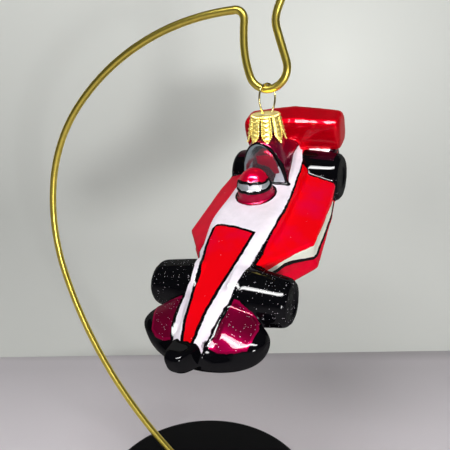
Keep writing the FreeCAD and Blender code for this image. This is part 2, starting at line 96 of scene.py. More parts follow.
class GlassForm(bpy.types.PropertyGroup):
    """Softness and relief of the blown glass"""
    grid: length("Grid", "Size of the faces of the glass", 0.00056)
    soft_passes: count("Softening", "Smoothing passes over the blown forms", 7)
    wing_passes: count("Wing softening", "Further passes over the rear wing", 22)
    plate_relief: length("Plate relief", "Rise of the front wing's plates over their rim", 0.00022)
    facet_depth: length("Facet depth", "Depth of the facet on the rear wing's front edge", 0.00017)
    wing_camber: length("Wing camber", "Swell of the front wing's top", 0.0010)
    wing_droop: length("Wing droop", "Fall of the front wing's leading edge", 0.0008)
    line_groove: length("Line groove", "Depth of the moulded lines between the forms", 0.00018)
    visor_relief: length("Visor relief", "Depth of the visor under the helmet's brow", 0.00045)
    tyre_rings: length("Tyre rings", "Height of the rings on the tyres' faces", 0.00014)
    unevenness: length("Unevenness", "Slow waves of the blown surface", 0.00016)


class LacquerColours(bpy.types.PropertyGroup):
    """Lacquers brushed over the silvered glass, with painted shade, highlights and reflections among them
    """
    red: colour("Red", "Bright red of the pods and the nose stripe", (0.78, 0.0, 0.004))
    pink_red: colour("Pink red", "Where the red lacquer lies thin", (0.70, 0.0, 0.035))
    white: colour("White", "Pearl white of the body", (0.91, 0.84, 0.92))
    cream: colour("Cream", "Cream of the pods' flanks", (0.78, 0.80, 0.68))
    black: colour("Black", "Black of tyres, rims and outlines", (0.0016, 0.0016, 0.0024))
    crimson: colour("Crimson", "Deep crimson over silver, on the front wing", (0.115, 0.0, 0.017))
    plate_edge: colour("Plate edge", "Lighter rim of the front wing's plates", (0.24, 0.0, 0.034))
    maroon: colour("Maroon", "Dark crimson of the engine cover", (0.20, 0.002, 0.03))
    chin_red: colour("Chin red", "Crimson of the helmet's chin", (0.36, 0.001, 0.03))
    candy: colour("Candy red", "Clear red over silver, on the rear wing", (0.52, 0.0, 0.007))
    dusky: colour("Dusky maroon", "Near black red under the rear wing", (0.03, 0.001, 0.008))
    # painted shade: the red darkened on the left pod, away from the lamps, and below the flanks
    deep_red: colour("Deep red", "Thick red of the left pod and below the flanks", (0.66, 0.0, 0.02))
    # the visor is silver; its bright front is a painted highlight and its greyer ends a painted reflection
    visor_light: colour("Visor light", "Bright front of the visor", (0.86, 0.89, 0.93))
    visor_grey: colour("Visor grey", "Greyer ends of the visor", (0.40, 0.44, 0.47))
    # painted reflection: the pale silver of the light patch mirrored in the arch
    pale_silver: colour("Pale silver", "Silvering where the arch meets the cockpit", (0.58, 0.66, 0.72))
    # painted reflection: the red patch stands for the helmet mirrored in the arch's silvering
    arch_red: colour("Arch red", "Thin red lacquer on the silvering inside the arch", (0.42, 0.05, 0.09))
    crown_red: colour("Crown red", "Clear red of the helmet's crown", (0.70, 0.0, 0.03))
    silver: colour("Silver", "Bare silvering", (0.74, 0.79, 0.82))
    mirror: colour("Dark silver", "Silvering inside the air scoop's arch", (0.27, 0.34, 0.36))


class CapSizes(bpy.types.PropertyGroup):
    """Stamped gold crown cap"""
    petals: count("Petals", "Number of petals round the cap", 8, least=3)
    rim_beads: count("Rim beads", "Beads round the cap's top", 40, least=8)
    bead: length("Bead", "Radius of the beads on the petals' edges", 0.00038)
    bead_step: length("Bead step", "Distance between beads along an edge", 0.00084)
    lean: angle("Lean", "How far the cap's top leans to the nose", 13.0)
    gold: colour("Gold", "Gold of the cap", (1.0, 0.80, 0.22))


class StageSettings(bpy.types.PropertyGroup):
    """Camera, lamps, table and backdrop, and the gold of the stand's wire"""
    eye: location("Eye", "Place of the camera", (0.0809, -0.1932, 0.1944))
    eye_down: angle("Tilt", "How far the camera looks down", 12.7)
    eye_turn: angle("Turn", "Heading of the camera", 20.4)
    lens: FloatProperty(name="Lens", description="Focal length of the camera", default=38.8, unit="CAMERA")
    table_edge: length("Table edge", "Distance from the camera to the backdrop", 0.372)
    wall_turn: number("Backdrop turn", "How much farther the backdrop is at its right, per length", 0.03)
    wall_height: length("Backdrop height", "Height of the backdrop over the table", 0.36)
    world: number("World", "Strength of the light from straight above", 0.12)
    world_low: number("Low world", "Strength of the light from the horizon", 0.05)
    key: number("Key", "Power of the long lamp", 3.6)
    fill: number("Fill", "Power of the low lamp on the right", 2.1)
    glint: number("Glint", "Power of the broad lamp that shows in glass and cap alone", 17.0)
    wall_glow: number("Wall glow", "Share of the backdrop's own tone that shows without any lamp", 0.13)
    wire_gold: colour("Wire gold", "Satin gold of the stand's wire", (0.70, 0.56, 0.10))


# Node helpers

class Nodes:
    """A short way to write a node tree: each call adds a node, sets its inputs and gives its output."""

    def __init__(self, tree):
        self.tree = tree

    def feed(self, value, socket):
        """Links another node's output to the socket, or sets a plain value on it."""
        if isinstance(value, bpy.types.NodeSocket):
            self.tree.links.new(value, socket)
        else:
            socket.default_value = value

    def add(self, kind, out=0, **values):
        """A new node's output of that name or number, or the node itself where out is None."""
        node = self.tree.nodes.new(kind)
        inputs = values.pop("inputs", {})
        for name, value in values.items():
            setattr(node, name, value)
        for name, value in inputs.items():
            self.feed(value, node.inputs[name])
        return node if out is None else node.outputs[out]

    def maths(self, operation, a, b, clamp=False):
        return self.add("ShaderNodeMath", operation=operation, use_clamp=clamp, inputs={0: a, 1: b})

    def step(self, value, low, high):
        """0 below low, 1 above high, straight between."""
        return self.add("ShaderNodeMapRange", inputs={"Value": value, "From Min": low, "From Max": high})

    def mix(self, share, first, second):
        """Two colours mixed; on this node their inputs are numbers 6 and 7, and the result is output 2."""
        return self.add("ShaderNodeMix", 2, data_type="RGBA", inputs={0: share, 6: first, 7: second})

    def mix_number(self, share, first, second):
        return self.add("ShaderNodeMix", data_type="FLOAT", inputs={0: share, 2: first, 3: second})

    def noise(self, place, scale, detail=2.0, rough=0.5):
        return self.add("ShaderNodeTexNoise",
                        inputs={"Vector": place, "Scale": scale, "Detail": detail, "Roughness": rough})

    def bump(self, shader, height, strength, distance):
        normal = self.add("ShaderNodeBump",
                          inputs={"Height": height, "Strength": strength, "Distance": distance})
        self.feed(normal, shader.inputs["Normal"])
        return normal

    def joined(self, *parts):
        node = self.add("GeometryNodeJoinGeometry", None)
        for part in parts:
            self.feed(part, node.inputs[0])
        return node.outputs[0]


def rgba(colour_value):
    return (*colour_value, 1.0)


def new_material(name, **sockets):
    """A material with one Principled shader, whose even values go straight on its sockets."""
    material = bpy.data.materials.new(name)
    material.use_nodes = True
    nodes = Nodes(material.node_tree)
    shader = material.node_tree.nodes["Principled BSDF"]
    for socket, value in sockets.items():
        shader.inputs[socket.replace("_", " ")].default_value = value
    place = nodes.add("ShaderNodeTexCoord", "Object")
    return material, nodes, shader, place


def dress(node_name, material):
    """A carried-over CAD node keeps its mesh and takes a material in its slots."""
    item = NODES[node_name]
    for slot in item.material_slots:
        slot.material = material
    if not item.material_slots:
        item.data.materials.append(material)


def linked(name, data):
    """A new object in the scene."""
    item = bpy.data.objects.new(name, data)
    bpy.context.scene.collection.objects.link(item)
    return item


def new_piece(name, mesh, material, slot, *replaced):
    item = linked(name, mesh)
    mesh.materials.clear()
    mesh.materials.append(material)
    mesh.polygons.foreach_set("use_smooth", [True] * len(mesh.polygons))
    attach(item, "root")
    if replaced:
        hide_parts(*replaced)


def evaluated_mesh(item):
    """The plain mesh of an object with its modifiers; the object itself is removed."""
    bpy.context.view_layer.update()
    graph = bpy.context.evaluated_depsgraph_get()
    mesh = bpy.data.meshes.new_from_object(item.evaluated_get(graph))
    bpy.data.objects.remove(item)
    return mesh


# Where the lacquers meet, in the car's own frame: x across, y back and z up from the floor, in mm

# Edges of the white body seen from above: place along the car, then how far across.
WHITE_RIGHT = [(-96, 4.9), (-93.4, 5.1), (-87.3, 5.9), (-79.2, 7.1), (-76, 8.3), (-71, 9.4), (-66.9, 10.0),
               (-60.4, 10.2), (-53.2, 11.4), (-44.8, 12.5), (-32.4, 12.7), (-19.4, 12.1), (-9.1, 11.2),
               (1.3, 10.0), (6.6, 8.6), (12, 7.0), (14.5, 5.0)]
WHITE_LEFT = [(-96, -5.6), (-91.2, -7.5), (-86, -8.7), (-82.4, -9.2), (-78.5, -9.7), (-76.1, -8.8),
              (-73.4, -7.8), (-69.8, -8.2), (-63.8, -10.1), (-56.3, -13.4), (-44.9, -14.6), (-32.6, -15.2),
              (-19.5, -14.2), (-9.1, -12.0), (2.9, -9.0), (15, -6)]
# Lowest height of body, outline and stripe along the car, clear of the front wing.
OVER_WING = [(-96, 9.0), (-80, 12.0), (-70, 13.5), (-60, 16.5), (-45, 17.0), (14, 17.0)]
# Width of the black line beside the white body, and how far it reaches down.
LINE_RIGHT = [(-96, 1.2), (-80, 1.2), (-60, 0.8), (-50, 0.55), (-30, 0.6), (-10, 0.6), (3, 0.55)]
LINE_LEFT = [(-96, 1.3), (-62, 0.9), (-50, 0.0), (-30, -0.3), (0, -0.3)]
LINE_DROP = 1.6
# Outer edges of the nose stripe with its outline; its rear edge is given from left to right.
STRIPE_LEFT = [(-96, -1.2), (-93.3, -2.4), (-87.7, -4.4), (-83.9, -5.0), (-80.2, -5.5), (-76.3, -6.3),
               (-73.2, -6.3), (-69.6, -6.6), (-64, -8.2), (-60.2, -9.0), (-54.5, -9.9), (-48, -10.2)]
STRIPE_RIGHT = [(-96, 3.4), (-90, 2.7), (-84.9, 2.5), (-76, 3.7), (-67.2, 5.1), (-58.6, 6.4), (-48.4, 7.7)]
STRIPE_REAR = [(-10.2, -48.6), (-9.0, -46.8), (-7, -46.2), (-1.1, -46.5), (7.7, -48.4)]
# Black tip of the nose: its rear edge, and the height and turn per mm of that edge's waves.
NOSE_EDGE, NOSE_WAVE, NOSE_WAVE_TURN = -95.4, 0.35, 1.9
# Front wing's plate, right and left, as corners seen from above.
PLATE_RIGHT = [(5.4, -93.1), (9.2, -93.4), (15.1, -92.1), (18.5, -90.6), (19.4, -87.2), (19.7, -82.8),
               (18.8, -79.2), (17.2, -77.8), (15.7, -77.5), (13.4, -77.0), (10.9, -76.3), (9.2, -76.2),
               (8.3, -77.6), (7.5, -79.8), (6.9, -83.1), (6.2, -86.2), (5.6, -89.5)]
PLATE_LEFT = [(-7.4, -92.9), (-11.2, -93.2), (-14.6, -92.6), (-16.6, -90.8), (-17.7, -87.9),
              (-18.8, -85.0), (-19.8, -81.7), (-21.5, -79.4), (-19.0, -78.4), (-15.9, -78.2),
              (-12.6, -77.8), (-10.4, -77.3), (-9.8, -77.2), (-9.9, -79.0), (-9.0, -83.6), (-8.3, -88.2)]
# How high the plates' lacquer goes, how high beside the nose, and how far out from the middle that is.
PLATE_TOP, PLATE_TOP_INNER, PLATE_INNER = 18.6, 19.2, (9.0, 12.0)
# Flank of the pods: place along the car, then the height of the cream's top and foot, and the width of
# the black line at its foot, which laps over it.
CREAM_TOP = [(-62, 15.0), (-54, 15.2), (-50, 15.6), (-46, 15.4), (-41, 14.5), (-35, 14.2),
             (-29.8, 13.1), (-23.6, 11.6), (-13.7, 8.4), (-6, 6.9), (2, 5.9)]
CREAM_FOOT = [(-62, 13.0), (-54, 13.3), (-51.3, 14.0), (-48.5, 13.2), (-44.2, 10.8), (-40, 8.6),
              (-37.8, 7.6), (-29.4, 7.0), (-22.9, 6.4), (-10.9, 5.9), (2, 5.9)]
FLANK_LINE = [(-62, 1.6), (-50, 1.9), (-44, 1.5), (-38, 1.1), (-26, 1.0), (2, 1.0)]
FLANK_LAP = 0.1
# Foot of the engine cover where it meets the white: place along the car, then height; width of its line.
COVER_FOOT = [(-16.6, 24.4), (-14.9, 26.0), (-12.7, 27.5), (-8.5, 28.3), (-4.4, 29.0), (0.3, 29.0),
              (8.5, 26.4), (14, 24.6), (20, 24.0)]
COVER_LINE = 0.5
# Arch of the air scoop: height, then half width; and how far across its middle lies.
ARCH = [(20, 10.4), (24.4, 10.1), (29.7, 9.2), (33.9, 8.1), (38.4, 6.2), (41.0, 4.2), (42.0, 2.6),
        (42.7, 0.4), (43.2, -1.0)]
ARCH_MIDDLE = -0.7
# Width of the arch's black rim outside it and inside it, and how much a distance counts inside.
ARCH_RIM, ARCH_INSET, ARCH_SCALE = 1.0, 0.8, 0.95
# Left edge of the light patch in the arch, a painted reflection: height, then how far across.
ARCH_LIGHT = [(25, 3.4), (28, 4.6), (31, 5.8), (34, 7.0), (38, 8.4)]
# Red patch in the arch, a painted reflection of the helmet in its silvering, as corners seen from the
# front: across, then height.
ARCH_RED = [(-2.2, 37.1), (1.5, 37.8), (4.3, 37.2), (6.0, 34.5), (6.6, 29.5), (4.6, 29.0), (2.6, 32.3),
            (-2.3, 33.7)]
# Helmet: its middle across and back, its radius, and the radius of the black line round its foot.
HELMET_X, HELMET_Y, HELMET_RADIUS, HELMET_FOOT_RADIUS = -1.3, -25.0, 8.2, 8.5
# Edges across its face: height in the middle, then the fall for each square mm to either side.
BROW, RIM_FOOT, VISOR_FOOT = (32.9, 0.042), (28.9, 0.02), (30.1, 0.012)
# The brow dips to a point: how far across, its half width, and its depth for each mm of that.
BROW_DIP, BROW_DIP_HALF, BROW_DIP_SHARE = 1.0, 1.1, 0.5
# From the brow: the crown's edge above it, the rim's edge above it, and the visor's edge below it.
CROWN_GAP, RIM_ABOVE, VISOR_BELOW = 0.9, 1.0, 0.35
# The visor's turn to the right, and how far before the helmet's middle it ends; its rim ends as far behind.
VISOR_TURN, VISOR_REAR = 0.25, 0.7
# The visor's bright front, a painted highlight on its silver, lies between these places across its face;
# its ends outside take a painted reflection in grey.
VISOR_FRONT = (0.1, 4.8)

# Axle's place along, its height, radius at the root and at the outer face, and half track to that face.
Tyre = namedtuple("Tyre", "axle height root face track")
FRONT_TYRE = Tyre(axle=-68.0, height=12.0, root=11.4, face=8.6, track=26.3)
REAR_TYRE = Tyre(axle=8.6, height=12.2, root=11.8, face=10.6, track=25.0)
TYRES = (FRONT_TYRE, REAR_TYRE)
# How far out a tyre's root lies, and how far its lacquer reaches past the tyre.
TYRE_ROOT, TYRE_LAP = 6.0, 0.55
# The rear tyres are black up to this height; they lie behind this place along the car.
REAR_TYRE_TOP, REAR_HALF = 22.6, -30.0
# Black of the front wing stops this far from the front axle.
WING_GAP = 9.0

# Straight bounds of the lacquers, from and to: x, y and z, and side, which is how far out to either side.
OPEN = math.inf
BOUNDS = {
    "body": {"y": (-OPEN, 15.2)},
    "outline": {"y": (-OPEN, 3.2)},
    "left_pod": {"x": (-OPEN, -8.0), "y": (-66.0, 0.0)},
    "tyres": {"side": (8.6, OPEN)},
    "rear_tyres": {"y": (0.3, 21.5), "z": (-OPEN, 24.0), "side": (8.0, OPEN)},
    "wing": {"y": (-OPEN, -62.0)},
    "plate": {"z": (9.0, OPEN)},
    "flank": {"y": (-62.0, -1.0), "side": (10.5, OPEN)},
    "cover": {"y": (-17.4, 15.6), "side": (-OPEN, 10.6)},
    "arch_rim": {"y": (-17.8, -15.7), "z": (24.0, OPEN)},
    "arch": {"y": (-17.8, -15.9), "z": (25.2, OPEN)},
    "helmet": {"y": (-OPEN, -17.2), "z": (24.9, OPEN)},
    "helmet_foot": {"y": (-OPEN, -17.2), "z": (24.0, 25.5)},
    "crown": {"y": (-OPEN, -17.2)},
    "rear_wing": {"y": (15.6, OPEN), "z": (21.1, OPEN)},
    "wing_side": {"y": (16.0, OPEN), "z": (17.4, OPEN), "side": (20.4, OPEN)},
    "block": {"y": (5.6, OPEN), "z": (14.0, 23.4), "side": (9.2, 22.6)},
    # painted highlight: a thin light line along the rear wing's lower front edge
    "edge_light": {"y": (14.6, 17.2), "z": (20.5, 21.4), "side": (8.6, OPEN)},
    "neck": {"y": (-12.0, OPEN), "z": (44.0, OPEN)},
}


def line(table, at):
    first, second = np.array(table, float).T
    return np.interp(at, first, second)


def inside(corners, x, y):
    """Signed distance to a polygon's edge, positive inside."""
    corners = np.array(corners, float)
    ends = np.roll(corners, -1, axis=0)
    nearest = np.full(x.shape, np.inf)
    odd = np.zeros(x.shape, bool)
    for (ax, ay), (bx, by) in zip(corners, ends):
        dx, dy = bx - ax, by - ay
        along = np.clip(((x - ax) * dx + (y - ay) * dy) / (dx * dx + dy * dy), 0, 1)
        nearest = np.minimum(nearest, np.hypot(x - ax - along * dx, y - ay - along * dy))
        if dy:
            crosses = (ay > y) != (by > y)
            odd ^= crosses & (x < dx * (y - ay) / dy + ax)
    return np.where(odd, nearest, -nearest)


def band(value, low, high):
    return np.minimum(value - low, high - value)


def every(*fields):
    return np.minimum.reduce(np.broadcast_arrays(*fields))


def some(*fields):
    return np.maximum.reduce(np.broadcast_arrays(*fields))


def body_fields(given, x, y, z):
    """White body, black outline, nose and its stripe, and the black of the front wing beside them."""
    right, left = line(WHITE_RIGHT, y), line(WHITE_LEFT, y)
    over = z - line(OVER_WING, y)
    gap = np.where(x > 0, line(LINE_RIGHT, y), line(LINE_LEFT, y))
    off_axle = np.hypot(y - FRONT_TYRE.axle, z - FRONT_TYRE.height)
    nose = NOSE_EDGE - y + NOSE_WAVE * np.sin(x * NOSE_WAVE_TURN)
    on_stripe = band(x, line(STRIPE_LEFT, y), line(STRIPE_RIGHT, y))
    return {
        "body": every(given["body"], right - x, x - left, over),
        "outline": every(given["outline"], right - x + gap, x - left + gap, over + LINE_DROP),
        "stripe": every(on_stripe, line(STRIPE_REAR, x) - y, over),
        "nose": np.maximum(nose, -9.0),
        "wing": every(given["wing"], np.where(x > 0, x - right, left - x), off_axle - WING_GAP),
    }


def tyre_and_plate_fields(given, x, y, z):
    side = np.abs(x)
    tyres = []
    for tyre in TYRES:
        radius = tyre.root + (tyre.face - tyre.root) * (side - TYRE_ROOT) / (tyre.track - TYRE_ROOT)
        tyres.append(radius + TYRE_LAP - np.hypot(y - tyre.axle, z - tyre.height))
    rear_top = np.where(y > REAR_HALF, REAR_TYRE_TOP - z, OPEN)
    plates = some(inside(PLATE_RIGHT, x, y), inside(PLATE_LEFT, x, y))
    plate_top = np.where(band(side, *PLATE_INNER) > 0, PLATE_TOP_INNER, PLATE_TOP)
    return {
        "tyres": every(given["tyres"], some(*tyres), rear_top),
        "plate": every(given["plate"], plates, plate_top - z),
    }


def flank_fields(given, x, y, z):
    """Cream of the pods' flanks, the black line at its foot, and the red below."""
    flank, foot = given["flank"], line(CREAM_FOOT, y)
    return {
        "cream": every(flank, line(CREAM_TOP, y) - z, z - foot),
        "flank_low": every(flank, foot - z),
        "flank_line": every(flank, band(z, foot - line(FLANK_LINE, y), foot + FLANK_LAP)),
    }


def scoop_fields(given, x, y, z):
    """Engine cover with the line at its foot, and the air scoop's arch with the painted reflections in it.
    """
    over_foot = z - line(COVER_FOOT, y)
    off_arch = line(ARCH, z) - np.abs(x - ARCH_MIDDLE)
    arch = every(given["arch"], off_arch * ARCH_SCALE - ARCH_INSET)
    return {
        "cover_line": every(given["cover"], over_foot + COVER_LINE),
        "cover": every(given["cover"], over_foot),
        "arch_rim": every(given["arch_rim"], off_arch + ARCH_RIM),
        "arch": arch,
        "arch_light": every(arch, x - line(ARCH_LIGHT, z)),
        "arch_red": every(arch, inside(ARCH_RED, x, z)),
    }


def helmet_fields(given, x, y, z):
    """Helmet with its chin, crown, visor and the rims between them, and the visor's painted highlight and
    reflection.
    """
    face = x - HELMET_X
    head = np.hypot(face, y - HELMET_Y)
    on_head = HELMET_RADIUS - head
    brow, rim_foot, visor_foot = (middle - fall * face * face
                                  for middle, fall in (BROW, RIM_FOOT, VISOR_FOOT))
    dip = np.clip(BROW_DIP_HALF - np.abs(face - BROW_DIP), 0, BROW_DIP_HALF)
    brow = brow - dip * BROW_DIP_SHARE
    front = VISOR_TURN * face - (y - HELMET_Y)
    visor = every(band(z, visor_foot, brow - VISOR_BELOW), front - VISOR_REAR, on_head)
    return {
        "helmet": every(given["helmet"], on_head),
        "helmet_foot": every(given["helmet_foot"], HELMET_FOOT_RADIUS - head),
        "crown": every(given["crown"], on_head, z - brow - CROWN_GAP),
        "visor_rim": every(band(z, rim_foot, brow + RIM_ABOVE), front + VISOR_REAR, on_head),
        "visor": visor,
        "visor_end": every(visor, -band(face, *VISOR_FRONT)),
    }


def paint_fields(place):
    """Signed distances in mm, positive where a lacquer lies, for points in the car's frame."""
    x, y, z = place.T
    axes = {"x": x, "y": y, "z": z, "side": np.abs(x)}
    fields = {}
    for name, bounds in BOUNDS.items():
        fields[name] = every(*(band(axes[axis], low, high) for axis, (low, high) in bounds.items()))
    for part in (body_fields, tyre_and_plate_fields, flank_fields, scoop_fields, helmet_fields):
        fields.update(part(fields, x, y, z))
    del fields["flank"]
    return fields


# Lacquers, with painted shade, highlights and reflections among them, in the order that they are laid on:
# field, inset of its edge in mm, and paint.
COATS = (
    # left_pod and flank_low take the red darkened as painted shade
    ("left_pod", 0, "deep_red"), ("flank_low", 0, "deep_red"), ("flank_line", 0, "black"),
    ("cream", 0, "cream"), ("wing", 0, "black"), ("tyres", 0, "tyre_black"), ("rear_tyres", 0, "black"),
    ("plate", 0, "plate_edge"), ("plate", 0.7, "crimson"), ("block", 0, "dusky"),
    ("outline", 0, "glitter_black"), ("body", 0, "white"), ("stripe", 0, "black"),
    ("stripe", 1.15, "red"), ("nose", 0, "black"), ("rear_wing", 0, "candy"), ("wing_side", 0, "candy"),
    # edge_light is a painted highlight, laid in silver
    ("edge_light", 0, "edge_silver"), ("cover_line", 0, "black"), ("cover", 0, "maroon"),
    # arch_light and arch_red are painted reflections in the arch's silvering
    ("arch_rim", 0, "black"), ("arch", 0, "mirror"), ("arch_light", 0, "pale_silver"),
    ("arch_red", 0, "arch_red"), ("helmet_foot", 0, "black"), ("helmet", 0, "chin_red"),
    # the visor's bright front and grey ends are a painted highlight and a painted reflection
    ("visor_rim", 0, "black"), ("visor", 0, "visor_light"), ("visor_end", 0, "visor_grey"),
    ("crown", 0, "crown_red"), ("neck", 0, "silver"),
)
# Paint: how metallic it looks over the silvering, its roughness, and its share of glitter.
PAINTS = {
    "red": (0.08, 0.3, 0.02), "deep_red": (0.08, 0.3, 0.02), "white": (0.0, 0.3, 0.0),
    "cream": (0.0, 0.3, 0.0), "black": (0.0, 0.25, 0.0), "tyre_black": (0.0, 0.28, 0.6),
    "glitter_black": (0.0, 0.3, 1.0), "crimson": (0.25, 0.35, 0.8), "plate_edge": (0.3, 0.35, 0.2),
    "maroon": (0.6, 0.22, 0.03), "chin_red": (0.5, 0.2, 0.0), "crown_red": (0.45, 0.2, 0.0),
    "candy": (0.3, 0.34, 0.0), "dusky": (0.3, 0.3, 0.05), "silver": (0.7, 0.13, 0.0),
    "mirror": (0.85, 0.1, 0.0), "visor_light": (0.3, 0.15, 0.0), "visor_grey": (0.45, 0.2, 0.0),
    "arch_red": (0.5, 0.2, 0.0), "pale_silver": (0.15, 0.25, 0.0), "edge_silver": (0.4, 0.3, 0.0),
}
# Paints that share another paint's colour.
PAINT_COLOURS = {"glitter_black": "black", "tyre_black": "black", "edge_silver": "silver"}


# Blown glass: places in the car's frame and widths in mm, as the tables above

# Where the front wing's own relief fades in: out from the middle, in height, and towards the nose.
WING_FADE_OUT, WING_FADE_UP, WING_FADE_AHEAD = (5.5, 9.5), (9.0, 12.0), (76.0, 79.0)
# Its swell's middle and spread, and where its falling front edge starts and how long it is.
SWELL_MIDDLE, SWELL_SPREAD, DROOP_START, DROOP_SPAN = -86.5, 5.5, -87.0, 7.0
# How far outside and inside the edge of their lacquer the plates' rise starts and is full.
PLATE_STEP = (-0.5, 0.6)
# Grooves lie before this place along the car and above this height; then half their width.
GROOVE_REAR, GROOVE_FOOT, GROOVE_HALF = -2.0, 14.0, 1.2
# Half width of the visor's step, the middle of the ridge round the visor, and half that ridge's width.
VISOR_STEP, RIDGE_MIDDLE, RIDGE_HALF = 0.5, -0.6, 0.8
# Rings on the tyres' faces: turn of their wave per mm, where they fade in, back from the face, and how
# far past its radius they reach.
RING_TURN, RING_FADE, RING_REACH = 3.6, (1.2, 0.3), 1.0
# Scale of the glass's slow waves.
WAVE_SCALE = 0.085
# The facet: its outward direction, a place on its edge along and up, and that edge's fall to the sides.
FACET_OUT, FACET_Y, FACET_Z, FACET_FALL = np.array((0.0, -0.64, 0.77)), 18.05, 34.95, 0.04
# Where the facet lies: behind this place and within this far of the middle; its uneven depth and scale.
FACET_FRONT, FACET_SIDE, FACET_UNEVEN, FACET_SCALE = 15.6, 21.6, 0.05, 0.55
# Depth inside the rear wing's lacquer from which its glass is softened further.
SOFT_INSET = 0.8
# Corners of the loose CAD mesh that lie nearer than this are one, in metres.
SAME_CORNER = 2e-6


def tilted(pose, tilt):
    """Turn of a piece that hangs with the car's yaw and its own tilt to the nose."""
    return Euler((0, 0, pose.yaw)).to_matrix() @ Euler((tilt, 0, 0)).to_matrix()


def car_places(points, pose):
    """Points of the part's frame, in metres, taken into the car's own frame, in mm."""
    seat = np.array(pose.hook_seat)
    turn = np.array(tilted(pose, pose.pitch))
    return (points - seat) @ turn / MM + np.array((0, 0, pose.over_floor / MM))


def vertex_array(collection, field):
    values = np.empty(len(collection) * 3, np.float32)
    collection.foreach_get(field, values)
    return values.reshape(-1, 3).astype(float)


def wing_facet(place, depth):
    """Flattens the rear wing's upper front edge to a narrow facet; gives each point's shift, in mm."""
    x, y, z = place.T
    crest = FACET_Z - FACET_FALL * np.abs(x)
    uneven = np.array([noise.noise(Vector((a * FACET_SCALE, 3.0, 0.0))) for a in x]) * FACET_UNEVEN
    over = FACET_OUT[2] * (z - crest) + FACET_OUT[1] * (y - FACET_Y) + depth + uneven
    over = np.where((y > FACET_FRONT) & (np.abs(x) < FACET_SIDE), np.clip(over, 0, None), 0)
    return -over[:, None] * FACET_OUT


def soft_step(value, low, high):
    share = np.clip((value - low) / (high - low), 0, 1)
    return share * share * (3 - 2 * share)


def relief(place, fields, form):
    """How far each point moves out along its normal, in metres."""
    x, y, z = place.T
    side = np.abs(x)
    rise = form.plate_relief * soft_step(fields["plate"], *PLATE_STEP)
    on_wing = (soft_step(side, *WING_FADE_OUT) * soft_step(z, *WING_FADE_UP)
               * soft_step(-y, *WING_FADE_AHEAD))
    rise = rise + form.wing_camber * np.exp(-((y - SWELL_MIDDLE) / SWELL_SPREAD) ** 2) * on_wing
    rise = rise - form.wing_droop * np.clip((DROOP_START - y) / DROOP_SPAN, 0, 1) ** 2 * on_wing
    groove = soft_step(-np.abs(fields["outline"]), -GROOVE_HALF, 0.0)
    rise = rise - form.line_groove * groove * (y < GROOVE_REAR) * (z > GROOVE_FOOT)
    rise = rise - form.visor_relief * soft_step(fields["visor"], -VISOR_STEP, VISOR_STEP)
    ridge = soft_step(-np.abs(fields["visor"] - RIDGE_MIDDLE), -RIDGE_HALF, 0.0)
    rise = rise + form.visor_relief * ridge * (fields["helmet"] > 0)
    for tyre in TYRES:
        spoke = np.hypot(y - tyre.axle, z - tyre.height)
        on_face = soft_step(side, *(tyre.track - back for back in RING_FADE))
        on_face = on_face * (spoke < tyre.face + RING_REACH)
        rise = rise + form.tyre_rings * np.cos(spoke * RING_TURN) * on_face
    waves = np.array([noise.noise(Vector(p) * WAVE_SCALE) for p in place])
    return rise + form.unevenness * waves


def smoothing(item, passes):
    smooth = item.modifiers.new("soft", "SMOOTH")
    smooth.factor, smooth.iterations = 0.5, passes
    return smooth


def softened(mesh, form, pose):
    """The mesh with the edges of its rear wing blown rounder than the rest."""
    fields = paint_fields(car_places(vertex_array(mesh.vertices, "co"), pose))
    item = linked("soft_draft", mesh)
    group = item.vertex_groups.new(name="puffed")
    group.add([int(i) for i in np.flatnonzero(fields["rear_wing"] > SOFT_INSET)], 1.0, "REPLACE")
    smoothing(item, form.wing_passes).vertex_group = group.name
    return evaluated_mesh(item)


def glass_mesh(form, pose):
    """The CAD glass, merged, remeshed and softened, with its relief and its paint fields."""
    mesh = NODES["glass_car"].data.copy()
    loose = bmesh.new()
    loose.from_mesh(mesh)
    bmesh.ops.remove_doubles(loose, verts=loose.verts, dist=SAME_CORNER)
    loose.to_mesh(mesh)
    loose.free()
    item = linked("glass_draft", mesh)
    remesh = item.modifiers.new("grid", "REMESH")
    remesh.mode, remesh.voxel_size, remesh.adaptivity = "VOXEL", form.grid, 0.0
    smoothing(item, form.soft_passes)
    mesh = softened(evaluated_mesh(item), form, pose)
    mesh.name = "glass_car_lacquered"
    points = vertex_array(mesh.vertices, "co")
    normals = vertex_array(mesh.vertex_normals, "vector")
    place = car_places(points, pose)
    moved = points + normals * relief(place, paint_fields(place), form)[:, None]
    turn = np.array(tilted(pose, pose.pitch))
    moved = moved + wing_facet(car_places(moved, pose), form.facet_depth / MM) @ turn.T * MM
    mesh.vertices.foreach_set("co", moved.astype(np.float32).ravel())
    mesh.update()
    for name, field in paint_fields(car_places(moved, pose)).items():
        store = mesh.attributes.new(name, "FLOAT", "POINT")
        store.data.foreach_set("value", field.astype(np.float32))
    return mesh


# How far the lacquers' edges waver and how softly they end, in mm.
EDGE_WAVER, EDGE_SOFTNESS = 0.7, 0.07
# Noise that shows the red thin, how thin it gets, noise that shows a streak, and a streak's tone.
THIN_FROM, THIN_SHARE, STREAK_FROM, STREAK_TONE = (0.5, 0.72), 0.85, (0.35, 0.75), 0.86
# Glitter: scale of its cells, edge of a grain in its cell, share of cells with one, colour and roughness.
GRAIN_SCALE, GRAIN_EDGE, GRAIN_SHARE = 2600.0, (0.34, 0.26), 0.10
GRAIN_COLOUR, GRAIN_ROUGHNESS = (0.52, 0.49, 0.54), 0.35


def glitter(nodes, place, grains):
    """1 on the fine grains that were dusted on the wet lacquer, 0 between them."""
    cells = nodes.add("ShaderNodeTexVoronoi", None, inputs={"Vector": place, "Scale": GRAIN_SCALE})
    pick = nodes.add("ShaderNodeSeparateColor", "Red", inputs={"Color": cells.outputs["Color"]})
    near = nodes.step(cells.outputs["Distance"], *GRAIN_EDGE)
    chosen = nodes.maths("LESS_THAN", pick, nodes.maths("MULTIPLY", grains, GRAIN_SHARE))
    return nodes.maths("MULTIPLY", near, chosen)


